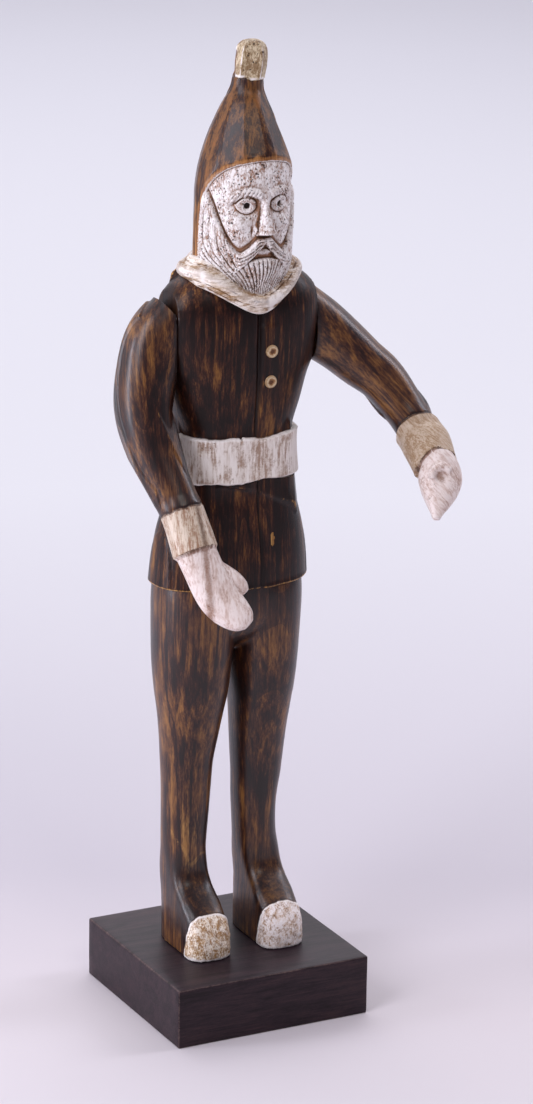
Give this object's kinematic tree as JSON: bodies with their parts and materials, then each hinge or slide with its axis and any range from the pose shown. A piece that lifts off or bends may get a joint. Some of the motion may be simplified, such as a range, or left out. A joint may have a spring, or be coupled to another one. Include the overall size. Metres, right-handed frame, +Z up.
{
  "type": "carved folk figure",
  "caption": "Carved and painted wooden figure of a bearded man in a tall pointed hat and belted jacket, standing on a square block, with separately carved arms",
  "frame": {"origin": "middle of the square block's underside", "axes": "+Z up through the figure, the figure faces -Y, +X towards the figure's own left"},
  "size_m": [0.1961, 0.1544, 0.5883],
  "materials": {
    "carved_wood": "dark stain, satin, rubbed through on the ridges, with white paint on face, collar, belt, mittens and toes",
    "base_wood": "dark stain, satin",
    "button_wood": "worn cream paint"
  },
  "bodies": {
    "root": {"base_block": "base_wood", "body": "carved_wood", "right_arm": "carved_wood", "left_arm": "carved_wood", "upper_button": "button_wood", "lower_button": "button_wood"}
  },
  "joints": []
}
